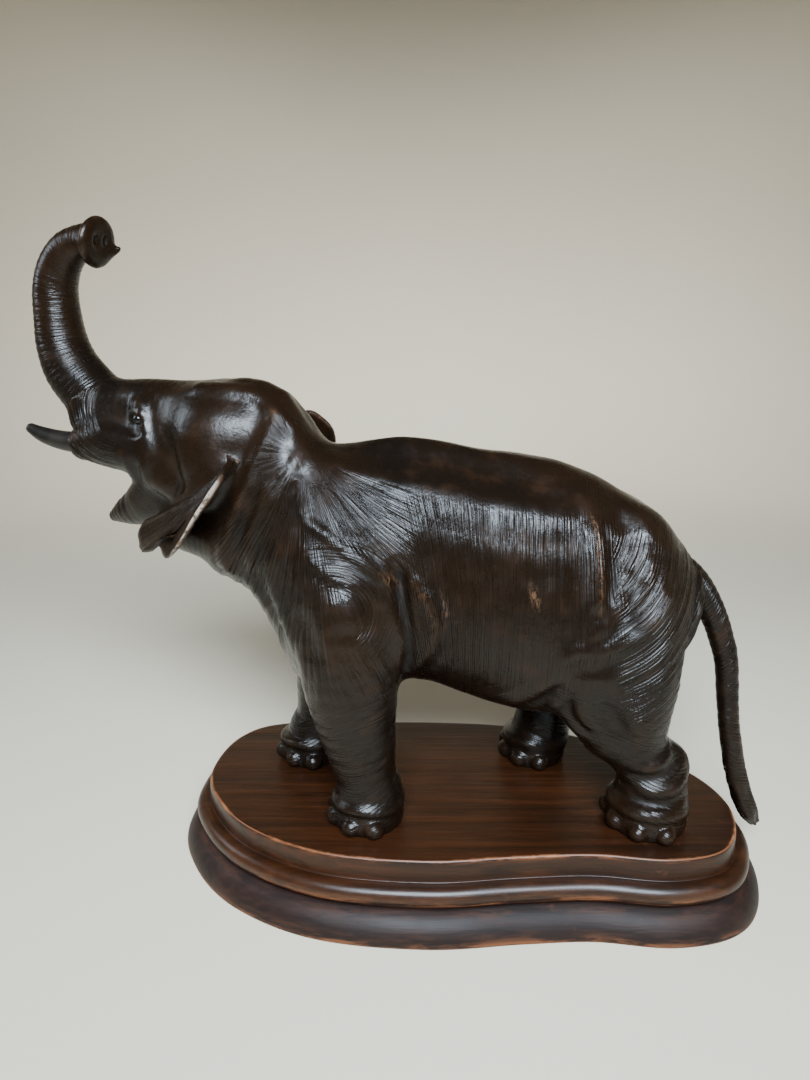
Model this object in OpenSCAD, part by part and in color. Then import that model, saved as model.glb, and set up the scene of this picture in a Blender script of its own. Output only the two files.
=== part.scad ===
// Carved wooden elephant with a raised trunk, on a moulded two-board stand.
// +Z is up, the elephant faces -X, and the origin is on the table in the middle of the stand.

/* [Stand] */
// Height of the whole stand
stand_h = 36; // [32:0.5:44]
// Height of the joint between the two boards
joint_z = 14; // [10:0.5:16]
// How far the skirt of the lower board flares past the edge of the top
skirt_out = 14.2; // [12:0.2:16]
// How far the rounded bead stands past the edge of the top
bead_out = 7.5; // [6:0.5:9]

/* [Elephant] */
// Turn of the head to the elephant's right, in degrees
head_turn = 20; // [14:1:24]
// Radius of the trunk where it leaves the face
trunk_root_r = 14; // [13:0.1:14.6]
// Thickness of an ear leaf
ear_t = 3; // [2.4:0.1:3.6]
// Radius of a carved toenail
toe_r = 4.6; // [3.5:0.1:5.5]

/* [Joints] */
// Radius of the four dowels that hold the feet
peg_r = 4; // [3:0.5:5]
// How far a dowel reaches up into a foot
peg_up = 16; // [10:1:20]
// Radius of the tenon on the trunk
trunk_tenon_r = 6; // [4:0.5:8]
// Length of the tenon on the trunk
trunk_tenon_h = 16; // [10:1:20]
// Radius of the tenon on the tail
tail_tenon_r = 3.5; // [2.5:0.5:4.5]
// Room for glue around a tenon
glue_gap = 0.12; // [0.08:0.02:0.2]

/* [Hidden] */

ebony = "#241a16";
horn = "#2b1f1a";
mahogany = "#4a2216";
skirt_brown = "#3c2420";
left = 1;    // side of the head nearest -Y
right = -1;  // side of the head nearest +Y

// ---- stand: outline of the top edge, and how the moulding steps out of it ----
stand_points = [[-134.5, 12], [-127, -12], [-106, -36.5], [-70, -54.5], [-22, -60.5], [20, -57.5],
                [54, -56], [90, -59.5], [117, -51], [129.5, -24], [123, 4], [101, 28],
                [62, 47], [20, 58], [-35, 61], [-100, 60], [-126, 45]];
outline_steps = 6;

function curve(a, b, c, d, t) =
    0.5 * (2 * b + (c - a) * t + (2 * a - 5 * b + 4 * c - d) * t * t + (3 * b - a - 3 * c + d) * t * t * t);
function closed_curve(p, steps) =
    [for (i = [0 : len(p) - 1], s = [0 : steps - 1])
        curve(p[(i + len(p) - 1) % len(p)], p[i], p[(i + 1) % len(p)], p[(i + 2) % len(p)], s / steps)];
function unit(v) = v / norm(v);
function turned_out(v) = [v.y, -v.x];
// the outline moved outwards by d, along the normal at each point
function grown(loop, d) =
    [for (i = [0 : len(loop) - 1])
        loop[i] + d * unit(turned_out(loop[(i + 1) % len(loop)] - loop[(i + len(loop) - 1) % len(loop)]))];

top_edge = closed_curve(stand_points, outline_steps);
groove_out = 4.5;
bead_r = 4.2;
bead_z = joint_z + 5.8;
bead_points = 7;
// moulding profiles run upwards: [distance past the top edge, height]
top_profile = concat(
    [[groove_out, joint_z]],
    [for (i = [0 : bead_points - 1])
        let (a = -62 + i * 142 / (bead_points - 1))
        [bead_out - bead_r + bead_r * cos(a), bead_z + bead_r * sin(a)]],
    [[1.6, bead_z + bead_r + 0.9], [0.4, bead_z + bead_r + 4], [0.2, stand_h - 3],
     [0, stand_h - 0.8], [-0.8, stand_h]]);
base_profile = [[skirt_out - 0.8, 0], [skirt_out, 1.2], [skirt_out - 0.7, 5], [skirt_out - 2.6, 9],
                [skirt_out - 5.8, 12.4 * joint_z / 14], [groove_out, joint_z]];

// a board whose edge follows a moulding profile all round
module moulded_board(profile) {
    rings = [for (p = profile) [for (q = grown(top_edge, p[0])) [q.x, q.y, p[1]]]];
    n = len(top_edge);
    last = len(rings) - 1;
    middle = [for (r = [0, last]) [0, 0, profile[r][1]]];
    points = concat([for (r = rings, q = r) q], middle);
    sides = [for (r = [0 : last - 1], i = [0 : n - 1])
        [r * n + i, (r + 1) * n + i, (r + 1) * n + (i + 1) % n, r * n + (i + 1) % n]];
    caps = [for (i = [0 : n - 1], r = [0, 1])
        r == 0 ? [i, (i + 1) % n, len(points) - 2]
               : [last * n + (i + 1) % n, last * n + i, len(points) - 1]];
    polyhedron(points, concat(sides, caps), convexity = 4);
}

// ---- elephant: balls are [x, y, z, radius]; heights are above the table ----
torso = [ // [top x, top z, bottom x, bottom z, half width]
    [105, 157, 94, 108, 20], [97, 169, 89, 94, 30], [80, 183.5, 73, 86, 37], [60, 197, 52, 84, 40],
    [40, 206, 31, 84, 41], [21, 210, 12, 88.5, 41], [3, 212.5, -6, 95, 40], [-16, 215, -23, 100.5, 38],
    [-35, 216, -46, 100, 36], [-52, 215, -72, 94, 34], [-64, 214, -89, 100, 32],
    [-71, 219, -101, 120, 29], [-77, 227, -113, 139, 27], [-84, 235, -125, 151, 23]];
throat = [[-112, 2, 167, 20], [-124, 6, 172, 15.5], [-137, 12, 173, 13.5]];
rib_t = 9;

front_left = [[-58, -20, 152, 23], [-58, -25, 116, 23.5], [-54, -27.5, 86, 18.6], [-50.5, -27.5, 62, 15]];
front_right = [[-66, 20, 152, 23], [-69, 25, 116, 21], [-72, 28, 86, 17.5], [-76, 28.5, 62, 14.5]];
hind_left = [[72.5, -20, 134, 24], [74.5, -26, 112, 20], [73.5, -28.5, 94, 18], [76, -29, 77, 15],
             [86.5, -29.5, 63, 16]];
hind_right = [[66, 20, 132, 24], [56, 26, 108, 20], [47, 28, 86, 16], [46, 28, 66, 14.5]];
hock_left = [92.5, -29.5, 67, 10.5];
hock_right = [53, 28, 68, 9];
knee_left = [[54, -24, 118, 20], [52, -27, 102, 17], [62, -29, 84, 14]];
foot_at = [[-48, -27.5], [-81, 28.5], [86, -30], [41, 28]];
foot_r = [20, 19.5, 21.5, 19.5];
foot_h = 15;
feet_z = 36;  // the elephant is drawn standing at this height, and then raised onto the stand
toe_angles = [-70, -35, 0, 35, 70];

// the head turns about this point; inside head() the face looks along -X and the left side is -Y
neck = [-88, 0, 0];
cheek_r = 22;
trunk_line = [[-102.5, 0, 232, trunk_root_r], [-112.8, 0, 243, 13.6], [-117.2, 0, 254.6, 12.3],
              [-118.3, 0, 267.7, 11], [-118, 0, 278.5, 10.5], [-115.5, 0, 287.5, 10],
              [-111.5, 0, 294, 9.4], [-106, 0, 298.8, 8.7], [-99.5, 0, 301.4, 8], [-93, 0, 302, 8]];
trunk_lean = 34;
trunk_tip = [-91, 0, 301.4];
tip_r = 11.4;
tusk_line = [[-96, -15, 210, 5], [-104, -16, 210.8, 4.7], [-111, -17.5, 212, 4],
             [-118, -19, 214, 3], [-124, -20, 216.8, 1.8]];
tusk_root = [-98, -15.2, 209.8];
tusk_r = 3.6;
tusk_in = 13;
ear_front = [[-9, -22.5, 212], [-16, -22, 204], [-30, -21, 193], [-44, -15, 184]];
ear_rim = [[-7, -40.5, 202], [-15.5, -43.5, 191], [-29.6, -39.5, 174]];
// the right ear is carved with a broader upper lobe than the left
ear_tops = [[[-7.5, -33, 208]], [[-2, -36, 222.5], [6, -43, 212.5]]];
ear_lobes = [[-39, -36, 167.5], [-47, -32.5, 170.5], [-58.5, -27.5, 165.5], [-64.5, -24, 167], [-62, -20, 175]];
ear_root = [-24, -22, 199];
ear_slope = 36.5;
ear_tongue = [36, 10, 2.6];
eye_at = [-63, -17.2, 224];
eye_r = 2.6;

tail_line = [[98, 0, 157, 6.6], [104.5, 0, 150.5, 6.8], [112, 0, 141, 6.6], [117.5, -1, 131, 6.4],
             [122, -2, 120, 6.1], [125.6, -4, 107.6, 5.7], [128, -6, 87.4, 5.3], [129.7, -8, 73, 5.3],
             [133.9, -10, 52.6, 5.3], [138.2, -11, 38.7, 5.1], [142.1, -12, 29.5, 4.6], [146, -12, 22.5, 2.6]];
tail_root = [102, 0, 153];
tail_lean = 50;
tail_tenon_h = 14;

module ball(b, steps = 18) translate([b.x, b.y, b.z]) sphere(r = b[3], $fn = steps);

module limb(balls, steps = 18)
    for (i = [0 : len(balls) - 2])
        hull() {
            ball(balls[i], steps);
            ball(balls[i + 1], steps);
        }

// a flattened slice of the body, from its top point to its bottom point
module rib(r) {
    rise = [r[0] - r[2], r[1] - r[3]];
    translate([(r[0] + r[2]) / 2, 0, (r[1] + r[3]) / 2])
        rotate([0, atan2(rise.x, rise.y), 0])
            scale([rib_t, r[4], norm(rise) / 2]) sphere(r = 1, $fn = 28);
}

module trunk_of_body()
    for (i = [0 : len(torso) - 2])
        hull() {
            rib(torso[i]);
            rib(torso[i + 1]);
        }

module foot(i, ankle) {
    hull() {
        ball(ankle);
        translate([foot_at[i].x, foot_at[i].y, feet_z + 6]) cylinder(h = foot_h - 6, r = foot_r[i] - 2, $fn = 24);
    }
    hull() {
        translate([foot_at[i].x, foot_at[i].y, feet_z]) cylinder(h = 3, r = foot_r[i] - 1, $fn = 24);
        translate([foot_at[i].x, foot_at[i].y, feet_z + 5]) cylinder(h = 6, r = foot_r[i], $fn = 24);
    }
    for (a = toe_angles)
        translate([foot_at[i].x, foot_at[i].y, feet_z + toe_r])
            rotate([0, 0, 205 + a]) translate([foot_r[i] - 2.5, 0, 0]) sphere(r = toe_r, $fn = 14);
}

module leg(i, balls) {
    limb(balls);
    foot(i, balls[len(balls) - 1]);
}

module head() translate(neck) rotate([0, 0, -head_turn]) children();
module on_side(side) mirror([0, side == left ? 0 : 1, 0]) children();

module skull() {
    hull() {
        translate([-12, 0, 214]) scale([24, 27, 29]) sphere(r = 1, $fn = 24);
        translate([-46, 0, 215]) scale([22, 19, 25.5]) sphere(r = 1, $fn = 24);
    }
    hull() {
        translate([-50, 0, 217]) scale([20, 18, 23]) sphere(r = 1, $fn = 24);
        translate([-82, 0, 222]) scale([18, 15, 18]) sphere(r = 1, $fn = 24);
    }
    for (side = [left, right])
        on_side(side) {
            hull() {
                ball([-22, -13, 224, 15]);
                ball([-28, -9, 206, 18]);
            }
            hull() {
                ball([-40, -9, 206, 17]);
                ball([-86, -12.5, 212, 10.5]);
            }
            hull() {
                ball([-84, -12, 212.5, 10.5]);
                ball([-98, -13.5, 211, 8.6]);
            }
        }
    hull() {
        ball([-20, 0, 192, cheek_r]);
        ball([-52, 0, 194, 14]);
    }
    limb([[-44, 0, 192, 14], [-68, 0, 181, 12], [-84, 0, 177, 9.5], [-97, 0, 171, 3.4]]);
    hull() {
        ball([-82, 0, 222, 16]);
        ball(trunk_line[0]);
        ball([-106, 0, 219, 9.5]);
    }
}

// places its child on the face of the trunk's joint, pointing out along the trunk
module at_trunk_root()
    translate([trunk_line[0].x, trunk_line[0].y, trunk_line[0].z]) rotate([0, -trunk_lean, 0]) children();

module at_tusk_root() translate(tusk_root) rotate([0, -90, 0]) children();

module at_tail_root() translate(tail_root) rotate([0, 180 - tail_lean, 0]) children();

// round holes in the carved block are polygons whose flats clear the tenon
module socket(r, h, steps = 16)
    cylinder(r = (r + glue_gap) / cos(180 / steps), h = h, $fn = steps);

module raised() translate([0, 0, stand_h - feet_z]) children();

module carved_block() {
    trunk_of_body();
    limb(throat);
    head() skull();
}

module elephant_body() {
    color(ebony)
        difference() {
            union() {
                carved_block();
                leg(0, front_left);
                leg(1, front_right);
                leg(2, hind_left);
                leg(3, hind_right);
                limb(knee_left);
                ball(hock_left);
                ball(hock_right);
            }
            head() {
                at_trunk_root() {
                    translate([-40, -40, 0]) cube([80, 80, 60]);
                    translate([0, 0, -trunk_tenon_h - 1]) socket(trunk_tenon_r, trunk_tenon_h + 2);
                }
                for (side = [left, right])
                    on_side(side) {
                        at_tusk_root() translate([0, 0, -tusk_in - 1]) socket(tusk_r, tusk_in + 2);
                        limb([for (b = tusk_line) [b.x, b.y, b.z, b[3] + glue_gap]], 16);
                        ear_slot();
                        translate(eye_at) sphere(r = eye_r + 0.3, $fn = 16);
                    }
            }
            at_tail_root() {
                translate([0, 0, -tail_tenon_h - 1]) socket(tail_tenon_r, tail_tenon_h + 2);
                cylinder(h = 30, r = 12, $fn = 24);
            }
            for (p = foot_at)
                translate([p.x, p.y, feet_z - 1]) socket(peg_r, peg_up + 2);
        }
}

module trunk() {
    color(ebony)
        head() {
            difference() {
                union() {
                    limb(trunk_line, 20);
                    hull() {
                        translate(trunk_tip) rotate([0, 100, 0]) cylinder(h = 3, r = tip_r, $fn = 24);
                        translate(trunk_tip) rotate([0, 100, 0]) translate([0, 0, -2]) cylinder(h = 6, r = tip_r - 3, $fn = 24);
                    }
                }
                at_trunk_root() translate([-40, -40, -40]) cube([80, 80, 40]);
            }
            at_trunk_root() translate([0, 0, -trunk_tenon_h]) cylinder(r = trunk_tenon_r, h = trunk_tenon_h + 2, $fn = 24);
        }
}

module tusk(side) {
    color(horn)
        head() on_side(side) {
            limb(tusk_line, 16);
            at_tusk_root() translate([0, 0, -tusk_in]) cylinder(r = tusk_r, h = tusk_in + 3, $fn = 24);
        }
}

module ear_slot()
    translate(ear_root) rotate([0, -ear_slope, 0])
        cube([ear_tongue.x + 0.4, ear_tongue.y + 0.4, ear_tongue.z + 0.3], center = true);

module leaf_corner(p, r) translate(p) sphere(r = r, $fn = 12);

module ear_leaf(side) {
    half = ear_t / 2;
    tops = ear_tops[side == left ? 0 : 1];
    rim = concat([tops[len(tops) - 1]], ear_rim);
    hull() {
        leaf_corner(ear_front[0], half);
        for (p = tops) leaf_corner(p, half);
    }
    for (i = [0 : len(ear_front) - 2])
        hull() {
            leaf_corner(ear_front[i], half);
            leaf_corner(ear_front[i + 1], half);
            leaf_corner(rim[i], half);
            leaf_corner(rim[i + 1], half);
        }
    for (i = [0 : len(ear_lobes) - 2])
        hull() {
            leaf_corner(ear_front[len(ear_front) - 1], half);
            leaf_corner(ear_lobes[i], half);
            leaf_corner(ear_lobes[i + 1], half);
        }
    hull() {
        leaf_corner(ear_front[len(ear_front) - 1], half);
        leaf_corner(rim[len(rim) - 1], half);
        leaf_corner(ear_lobes[0], half);
    }
}

// the leaf is trimmed to the shape of the head, and its tongue goes into the head
module ear(side)
    color(ebony) {
        difference() {
            head() on_side(side) ear_leaf(side);
            carved_block();
        }
        head() on_side(side) translate(ear_root) rotate([0, -ear_slope, 0]) cube(ear_tongue, center = true);
    }

module eye(side)
    color("#0b0908") head() on_side(side) translate(eye_at) sphere(r = eye_r, $fn = 24);

module tail() {
    color(ebony) {
        difference() {
            limb(tail_line, 16);
            at_tail_root() translate([-20, -20, -40]) cube([40, 40, 40]);
        }
        at_tail_root() translate([0, 0, -tail_tenon_h]) cylinder(r = tail_tenon_r, h = tail_tenon_h + 2, $fn = 24);
    }
}

peg_down = 4;
module peg(i)
    color("#7a5230") translate([foot_at[i].x, foot_at[i].y, peg_down])
        cylinder(r = peg_r, h = stand_h + peg_up - peg_down, $fn = 32);

module peg_holes()
    for (p = foot_at)
        translate([p.x, p.y, peg_down - 0.5]) cylinder(r = peg_r + glue_gap, h = stand_h + 2, $fn = 32);

module stand_top()
    color(mahogany) difference() {
        moulded_board(top_profile);
        peg_holes();
    }

module stand_base()
    color(skirt_brown) difference() {
        moulded_board(base_profile);
        peg_holes();
    }

raised() elephant_body();
raised() trunk();
raised() tusk(left);  // tusk_left
raised() tusk(right);  // tusk_right
raised() ear(left);  // ear_left
raised() ear(right);  // ear_right
raised() eye(left);  // eye_left
raised() eye(right);  // eye_right
raised() tail();
peg(0);  // peg_front_left
peg(1);  // peg_front_right
peg(2);  // peg_hind_left
peg(3);  // peg_hind_right
stand_top();
stand_base();
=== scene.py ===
# Looks of the carved wooden elephant. Sizes inside this script are millimetres in the CAD's frame
# (elephant faces -X, its left side is -Y, +Z is up); meshes are written in metres.
import math
import bpy
import numpy as np
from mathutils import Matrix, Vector


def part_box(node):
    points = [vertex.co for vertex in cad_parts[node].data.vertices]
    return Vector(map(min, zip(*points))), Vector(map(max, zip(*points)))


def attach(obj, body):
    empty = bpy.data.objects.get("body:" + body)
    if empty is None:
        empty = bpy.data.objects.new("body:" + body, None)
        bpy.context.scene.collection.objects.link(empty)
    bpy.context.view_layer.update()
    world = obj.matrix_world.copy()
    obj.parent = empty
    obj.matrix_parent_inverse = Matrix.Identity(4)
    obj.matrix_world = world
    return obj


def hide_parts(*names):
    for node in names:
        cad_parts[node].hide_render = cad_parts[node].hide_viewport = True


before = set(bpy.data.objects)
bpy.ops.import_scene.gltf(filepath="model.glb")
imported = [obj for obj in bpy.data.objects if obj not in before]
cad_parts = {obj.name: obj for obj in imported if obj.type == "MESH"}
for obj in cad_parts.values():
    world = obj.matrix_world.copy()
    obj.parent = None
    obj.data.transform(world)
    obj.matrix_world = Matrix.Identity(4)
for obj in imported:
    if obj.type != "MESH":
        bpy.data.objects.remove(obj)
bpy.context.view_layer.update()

MM = 0.001
ROOT = "root"


def node_box(name):
    """Lowest and highest corner of a CAD node, in millimetres."""
    low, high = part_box(name)
    return np.array(low) / MM, np.array(high) / MM


STAND_TOP = node_box("stand_top")[1][2]
JOINT_Z = node_box("stand_base")[1][2]
LEGS = ("front_left", "front_right", "hind_left", "hind_right")
FOOT_AT = {leg: sum(node_box("peg_" + leg))[:2] / 2 for leg in LEGS}

# ---- skeleton of the carving
# torso ribs: top x, top z, bottom x, bottom z, half width
TORSO = np.array([
    [105, 157, 94, 108, 20], [97, 169, 89, 94, 30], [80, 183.5, 73, 86, 37], [60, 197, 52, 84, 40],
    [40, 205.2, 31, 84, 41], [21, 209, 12, 88.5, 41], [3, 211, -6, 95, 40], [-16, 215, -23, 100.5, 38],
    [-35, 217.2, -46, 100, 36], [-52, 215, -70, 94, 34], [-64, 214, -84, 100, 32],
    [-71, 219, -93.5, 121, 29], [-77, 227, -105, 141, 27], [-84, 235, -117, 153, 23]], float)
CAP_FRONT, CAP_BACK = 10.0, 9.0            # how far the rounded ends stand past the last ribs
TORSO_POWER = 2.1                          # squareness of a rib: 2 is an ellipse
# limbs: x, y, z, radius
LIMBS = {
    "front_left": [[-63, -8, 187, 20], [-60, -15, 168, 22], [-59, -22, 138, 24],
                   [-57, -25.5, 112, 22.5], [-54, -27.5, 86, 18.4], [-50.5, -27.5, 62, 14.8],
                   [-49, -27.5, 52, 16]],
    "front_right": [[-64, 8, 187, 20], [-65, 15, 168, 22], [-68, 22, 138, 23], [-69, 25, 112, 21],
                    [-72, 28, 86, 17.3], [-76, 28.5, 62, 14.3], [-79, 28.5, 52, 15.5]],
    "hind_left": [[71, -10, 167, 20], [70, -18, 146, 24], [73, -21.5, 126, 22.5], [74.5, -26, 110, 20],
                  [73.5, -28.5, 94, 17.8], [76, -29, 78, 15.2], [85, -29.5, 64, 15.2],
                  [86, -30, 52, 17]],
    "hind_right": [[68, 10, 167, 20], [64, 18, 146, 24], [60, 23, 126, 22.5], [54, 26, 108, 20],
                   [47, 28, 86, 16], [45, 28, 66, 14.2], [43, 28, 52, 15.5]],
}
KNEE_LEFT = [[58, -22, 130, 20], [54, -26, 116, 19], [54, -28, 101, 16], [63, -29, 84, 13]]
KNEE_RIGHT = [[44, 26, 100, 15], [41, 28, 88, 13.5], [42, 28, 76, 12.5]]
THROAT = [[-106, 1, 169, 19], [-122, 6, 171.5, 15.2], [-137, 12, 172, 12.6]]
FOOT_R = {"front_left": 20, "front_right": 19.5, "hind_left": 21.5, "hind_right": 19.5}

# the head turns about the neck; in its own frame it looks along -X and its left side is -Y
NECK = np.array([-88.0, 0.0, 0.0])
HEAD_TURN = math.radians(20)
TRUNK = [[-84, 0, 218, 17], [-94, 0, 224, 15.2], [-102.5, 0, 232, 14.2], [-112.6, 0, 243, 13.5],
         [-117.2, 0, 254.6, 12.2], [-118.3, 0, 267.7, 11], [-118, 0, 278.5, 10.4],
         [-115.5, 0, 287.5, 9.8], [-111.5, 0, 294, 9.2], [-106, 0, 298.8, 8.5], [-99.5, 0, 301.4, 7.8],
         [-93.5, 0, 302, 8]]
TRUNK_JOINT = np.array([-102.5, 0, 232.0])
TRUNK_LEAN = math.radians(34)
TRUNK_TIP = np.array([-90.5, 0, 301.4])
TIP_R = 11.4
TUSK = [[-90, -14.2, 209.6, 4.8], [-96, -15, 210, 5], [-104, -16, 210.8, 4.9], [-111, -17.5, 212, 4.5],
        [-118, -19, 214, 3.8], [-124, -20, 216.8, 2.6]]
TAIL = [[96, 0, 157.5, 6.4], [104.5, 0, 150.5, 6.8], [112, 0, 141, 6.6], [117.5, -1, 131, 6.3],
        [122, -2, 120, 6.0], [125.6, -4, 107.6, 5.6], [128, -6, 87.4, 5.2], [129.7, -8, 73, 5.1],
        [133.9, -10, 52.6, 5.0], [138.2, -11, 38.7, 4.9], [142.1, -12, 29.5, 4.6],
        [146, -12, 22.5, 2.6]]


# ---- distance fields
def through(p, steps):
    """Smooth curve through all the rows of points but the first and last, which only steer it."""
    t = (np.arange(steps) / steps)[:, None]
    out = [0.5 * (2 * b + (c - a) * t + (2 * a - 5 * b + 4 * c - d) * t ** 2
                  + (3 * b - a - 3 * c + d) * t ** 3)
           for a, b, c, d in zip(p[:-3], p[1:-2], p[2:-1], p[3:])]
    return np.vstack(out + [p[-2:-1]])


def spline(points, steps):
    """Smooth open curve through the rows of points."""
    p = np.asarray(points, float)
    return through(np.vstack([2 * p[0] - p[1], p, 2 * p[-1] - p[-2]]), steps)


def lengths(line):
    """Distance along a polyline at each of its points."""
    return np.concatenate([[0], np.cumsum(np.linalg.norm(np.diff(line, axis=0), axis=1))])


def even(line, at):
    """Points of a polyline at the given distances along it."""
    way = lengths(line)
    return np.stack([np.interp(at, way, line[:, k]) for k in range(line.shape[1])], 1)


def join(a, b, k):
    """Smooth union of two fields, blended over about k."""
    h = np.clip(0.5 + 0.5 * (b - a) / k, 0, 1)
    return b + (a - b) * h - k * h * (1 - h)


def cut(a, b, k):
    """Field a with b taken away, blended over about k."""
    return -join(-a, b, k)


def ball(p, centre, radius):
    return np.linalg.norm(p - np.asarray(centre, float), axis=1) - radius


def egg(p, centre, radii, tilt=0.0):
    """Ellipsoid; tilt turns it about the Y axis, in degrees."""
    q = p - np.asarray(centre, float)
    if tilt:
        a = math.radians(tilt)
        q = np.stack([q[:, 0] * math.cos(a) - q[:, 2] * math.sin(a), q[:, 1],
                      q[:, 0] * math.sin(a) + q[:, 2] * math.cos(a)], 1)
    radii = np.asarray(radii, float)
    k0 = np.linalg.norm(q / radii, axis=1)
    k1 = np.linalg.norm(q / radii ** 2, axis=1)
    return k0 * (k0 - 1) / np.maximum(k1, 1e-6)


def along(p, curve):
    """Distance from each point to a polyline, and how far along the polyline the nearest place is."""
    best = np.full(len(p), 1e9)
    where = np.zeros(len(p))
    for i, (a, b) in enumerate(zip(curve[:-1], curve[1:])):
        ab = b - a
        t = np.clip((p - a) @ ab / (ab @ ab), 0, 1)
        d = np.linalg.norm(p - a - t[:, None] * ab, axis=1)
        near = d < best
        best = np.where(near, d, best)
        where = np.where(near, i + t, where)
    return best, where


def limb(p, points, steps=4):
    """Tube of changing radius along a smooth curve; points are x, y, z, radius."""
    c = spline(points, steps)
    best = np.full(len(p), 1e9)
    for a, b in zip(c[:-1], c[1:]):
        ab = b[:3] - a[:3]
        t = np.clip((p - a[:3]) @ ab / (ab @ ab), 0, 1)
        d = np.linalg.norm(p - a[:3] - t[:, None] * ab, axis=1) - (a[3] + (b[3] - a[3]) * t)
        best = np.minimum(best, d)
    return best


def step(x, a, b):
    t = np.clip((x - a) / (b - a), 0, 1)
    return t * t * (3 - 2 * t)


def bump(p, centre, radii):
    """Smooth hill: 1 at the centre, 0 past the radii."""
    q = ((p - np.asarray(centre, float)) / np.asarray(radii, float)) ** 2
    return np.clip(1 - q.sum(1), 0, 1) ** 2


def fold(p, points, width, height, flat=0.5):
    """Height of a ridge (or groove, if negative) laid along a curve; flat makes it reach in and out."""
    line = spline(points, 4)
    scale = np.array([1, flat, 1])
    near = ((p > line.min(0) - width / scale) & (p < line.max(0) + width / scale)).all(1)
    out = np.zeros(len(p))
    d, t = along(p[near] * scale, line * scale)
    ends = step(t, -0.01, 3) * (1 - step(t, len(line) - 4, len(line) - 0.99))
    out[near] = height * (0.25 + 0.75 * ends) * np.clip(1 - (d / width) ** 2, 0, 1) ** 2
    return out


def noise(p, size, seed=0):
    """Smooth random values from 0 to 1, in lumps of the given size."""
    q = p / size
    cell = np.floor(q).astype(np.int64)
    f = q - cell
    f = f * f * (3 - 2 * f)
    total = np.zeros(len(p))
    for corner in range(8):
        o = np.array([corner & 1, corner >> 1 & 1, corner >> 2 & 1])
        c = cell + o
        h = (c[:, 0] * 73856093) ^ (c[:, 1] * 19349663) ^ (c[:, 2] * 83492791) ^ (seed * 1013904223)
        h = (h * 1103515245 + 12345) & 0x7fffffff
        h = ((h >> 8) * 69069 + 1) & 0x7fffff
        total += np.prod(np.where(o == 1, f, 1 - f), axis=1) * h / 0x7fffff
    return total


RIBS = spline(TORSO, 5)


def torso_place(p):
    """Where a point lies in the torso: rib number, height from belly -1 to spine 1, and rib sizes."""
    n = len(RIBS)
    rise = RIBS[:, 0:2] - RIBS[:, 2:4]
    half = np.linalg.norm(rise, axis=1) / 2
    rise = rise / (2 * half[:, None])
    centre = (RIBS[:, 0:2] + RIBS[:, 2:4]) / 2
    forward = np.stack([-rise[:, 1], rise[:, 0]], 1)
    xz = p[:, [0, 2]]
    ahead = xz @ forward.T - (centre * forward).sum(1)
    passed = (ahead > 0).sum(1)
    i = np.clip(passed - 1, 0, n - 2)
    rows = np.arange(len(p))
    d0, d1 = ahead[rows, i], ahead[rows, i + 1]
    t = np.clip(d0 / np.where(np.abs(d0 - d1) < 1e-6, 1e-6, d0 - d1), 0, 1)

    def mix(v):
        return v[i] + (v[i + 1] - v[i]) * (t if v.ndim == 1 else t[:, None])
    c, r, h, w = mix(centre), mix(rise), mix(half), mix(RIBS[:, 4])
    v = ((xz - c) * r).sum(1) / h
    beyond = np.where(passed == 0, np.maximum(-ahead[:, 0], 0) / CAP_BACK, 0)
    beyond = np.where(passed >= n, np.maximum(ahead[:, -1], 0) / CAP_FRONT, beyond)
    return i + t, v, h, w, beyond


def torso(p):
    """Barrel of the body: its sides lean in towards the back and are fullest low down."""
    s, v, h, w, beyond = torso_place(p)
    power = TORSO_POWER
    lean = 0.2 * step(p[:, 0], -62, -32) * (1 - 0.6 * step(p[:, 0], 58, 85))
    w = w * (1 + 0.2 * lean - lean * v)
    a, b = np.abs(p[:, 1]) / w, np.abs(v)
    size = np.maximum(a ** power + b ** power + beyond ** power, 1e-9) ** (1 / power)
    cap = np.where(s > len(RIBS) / 2, CAP_FRONT, CAP_BACK)
    g = np.sqrt((a ** (power - 1) / w) ** 2 + (b ** (power - 1) / h) ** 2
                + (beyond ** (power - 1) / cap) ** 2) / size ** (power - 1)
    return (size - 1) / np.maximum(g, 0.012)


def to_head(p):
    """From the shared frame to the head's own frame."""
    q = p - NECK
    c, s = math.cos(HEAD_TURN), math.sin(HEAD_TURN)
    return np.stack([q[:, 0] * c - q[:, 1] * s, q[:, 0] * s + q[:, 1] * c, q[:, 2]], 1)


def from_head(q):
    c, s = math.cos(HEAD_TURN), math.sin(HEAD_TURN)
    q = np.asarray(q, float)
    return np.stack([q[:, 0] * c + q[:, 1] * s, -q[:, 0] * s + q[:, 1] * c, q[:, 2]], 1) + NECK


def near_side(p):
    """Points folded onto the left side."""
    m = p.copy()
    m[:, 1] = -np.abs(m[:, 1])
    return m


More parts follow.
